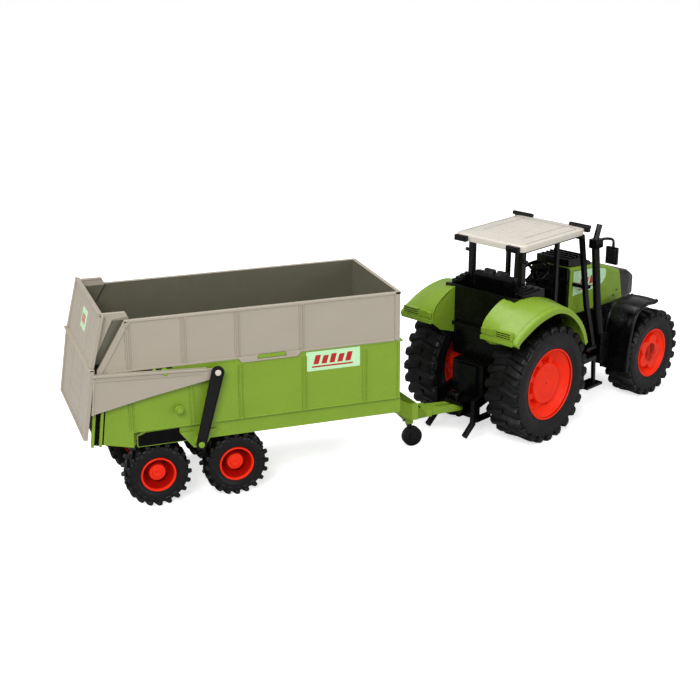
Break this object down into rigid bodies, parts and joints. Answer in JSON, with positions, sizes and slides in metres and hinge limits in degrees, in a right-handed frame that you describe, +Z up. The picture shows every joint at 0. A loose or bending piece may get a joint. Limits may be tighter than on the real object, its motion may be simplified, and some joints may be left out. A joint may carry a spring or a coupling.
{
  "type": "toy tractor",
  "caption": "Toy tractor with an open cab, towing a tipping trailer whose bed lifts on rear hinges while a linked tailgate swings open.",
  "frame": {"origin": "centre of the bottom of the bounding box, on the ground under the wheels", "axes": "+X is the forward direction of the trailer, +Y its left side, +Z up; the tractor stands turned 25.95 degrees to the left about the hitch pin"},
  "size_m": [0.5896, 0.2288, 0.1765],
  "materials": {
    "green_plastic": "semi-gloss moulded lime green plastic",
    "grey_plastic": "satin moulded warm grey plastic",
    "cream_plastic": "satin moulded cream plastic",
    "black_plastic": "satin black moulded plastic",
    "orange_plastic": "semi-gloss orange-red moulded plastic",
    "tyre_rubber": "matte black rubber with moulded lugs",
    "steel": "plain drawn steel rod",
    "dark_plastic": "dark grey moulded plastic"
  },
  "bodies": {
    "tractor": {"transmission_housing": "black_plastic", "front_axle_beam": "black_plastic", "hood": "green_plastic", "nose_grille": "dark_plastic", "nose_skirt": "dark_plastic", "hood_air_box": "black_plastic", "cab_tub": "black_plastic", "cab_frame": "black_plastic", "cab_roof": "cream_plastic", "rear_roof_lights": "black_plastic", "front_roof_lights": "black_plastic", "rear_fender_left": "green_plastic", "rear_fender_right": "green_plastic", "front_fender_left": "black_plastic", "front_fender_right": "black_plastic", "driver_seat": "black_plastic", "dashboard": "black_plastic", "exhaust_stack": "black_plastic", "exhaust_bracket": "black_plastic", "mirror_right": "black_plastic", "steps": "black_plastic", "rear_hitch": "black_plastic"},
    "rear_wheels": {"rear_tyre_left": "tyre_rubber", "rear_rim_left": "orange_plastic", "rear_tyre_right": "tyre_rubber", "rear_rim_right": "orange_plastic", "rear_axle": "steel"},
    "front_wheels": {"front_tyre_left": "tyre_rubber", "front_rim_left": "orange_plastic", "front_tyre_right": "tyre_rubber", "front_rim_right": "orange_plastic", "front_axle": "steel"},
    "steering_wheel": {"steering_wheel": "black_plastic"},
    "lift_arms": {"lift_shaft": "steel", "lift_arm_left": "black_plastic", "lift_arm_right": "black_plastic"},
    "trailer_chassis": {"trailer_chassis": "green_plastic", "drawbar": "green_plastic", "leg_bracket": "black_plastic", "link_low_pins": "green_plastic", "tip_hinge_pins": "green_plastic"},
    "support_leg": {"support_leg": "black_plastic"},
    "trailer_front_wheels": {"trailer_front_tyre_left": "tyre_rubber", "trailer_front_rim_left": "orange_plastic", "trailer_front_tyre_right": "tyre_rubber", "trailer_front_rim_right": "orange_plastic", "trailer_front_axle": "steel"},
    "trailer_rear_wheels": {"trailer_rear_tyre_left": "tyre_rubber", "trailer_rear_rim_left": "orange_plastic", "trailer_rear_tyre_right": "tyre_rubber", "trailer_rear_rim_right": "orange_plastic", "trailer_rear_axle": "steel"},
    "bed": {"bed_tub": "green_plastic", "bed_extension": "grey_plastic", "gate_pivot_pins": "green_plastic"},
    "tailgate": {"gate_lower": "grey_plastic", "gate_upper": "grey_plastic", "link_top_pins": "cream_plastic"},
    "link_bar_left": {"link_bar_left": "black_plastic"},
    "link_bar_right": {"link_bar_right": "black_plastic"}
  },
  "joints": [
    {"name": "hitch", "type": "hinge", "parent": "tractor", "child": "trailer_chassis", "pos_m": [0.03841, -0.05273, 0.031], "axis": [0, 0, 1], "range_deg": [-14.05, 65.95]},
    {"name": "rear_wheel_spin", "type": "hinge", "parent": "tractor", "child": "rear_wheels", "pos_m": [0.08579, -0.02967, 0.05275], "axis": [-0.4376, 0.8992, 0], "continuous": true},
    {"name": "front_wheel_spin", "type": "hinge", "parent": "tractor", "child": "front_wheels", "pos_m": [0.23101, 0.041, 0.0417], "axis": [-0.4376, 0.8992, 0], "continuous": true},
    {"name": "steering_turn", "type": "hinge", "parent": "tractor", "child": "steering_wheel", "pos_m": [0.13372, -0.00635, 0.131], "axis": [-0.4496, -0.2188, 0.866], "continuous": true},
    {"name": "lift_raise", "type": "hinge", "parent": "tractor", "child": "lift_arms", "pos_m": [0.06538, -0.0396, 0.044], "axis": [-0.4376, 0.8992, 0], "range_deg": [0, 12]},
    {"name": "leg_fold", "type": "hinge", "parent": "trailer_chassis", "child": "support_leg", "pos_m": [-0.00759, -0.05273, 0.0246], "axis": [0, 1, 0], "range_deg": [0, 80]},
    {"name": "trailer_front_wheel_spin", "type": "hinge", "parent": "trailer_chassis", "child": "trailer_front_wheels", "pos_m": [-0.17339, -0.05273, 0.0267], "axis": [0, 1, 0], "continuous": true},
    {"name": "trailer_rear_wheel_spin", "type": "hinge", "parent": "trailer_chassis", "child": "trailer_rear_wheels", "pos_m": [-0.23659, -0.05273, 0.0267], "axis": [0, 1, 0], "continuous": true},
    {"name": "bed_tip", "type": "hinge", "parent": "trailer_chassis", "child": "bed", "pos_m": [-0.24659, -0.05273, 0.058], "axis": [0, -1, 0], "range_deg": [0, 42]},
    {"name": "gate_swing", "type": "hinge", "parent": "bed", "child": "tailgate", "pos_m": [-0.22999, -0.05273, 0.1142], "axis": [0, -1, 0], "range_deg": [-43.9, 0]},
    {"name": "link_left_swing", "type": "hinge", "parent": "trailer_chassis", "child": "link_bar_left", "pos_m": [-0.20479, 0.00687, 0.0533], "axis": [0, -1, 0], "range_deg": [0, 41.7]},
    {"name": "link_right_swing", "type": "hinge", "parent": "trailer_chassis", "child": "link_bar_right", "pos_m": [-0.20479, -0.11233, 0.0533], "axis": [0, -1, 0], "range_deg": [0, 41.7]}
  ],
  "couplings": [
    {"joint": "gate_swing", "follows": "bed_tip", "ratio": -1.043},
    {"joint": "link_left_swing", "follows": "bed_tip", "ratio": 0.991},
    {"joint": "link_right_swing", "follows": "bed_tip", "ratio": 0.991}
  ]
}
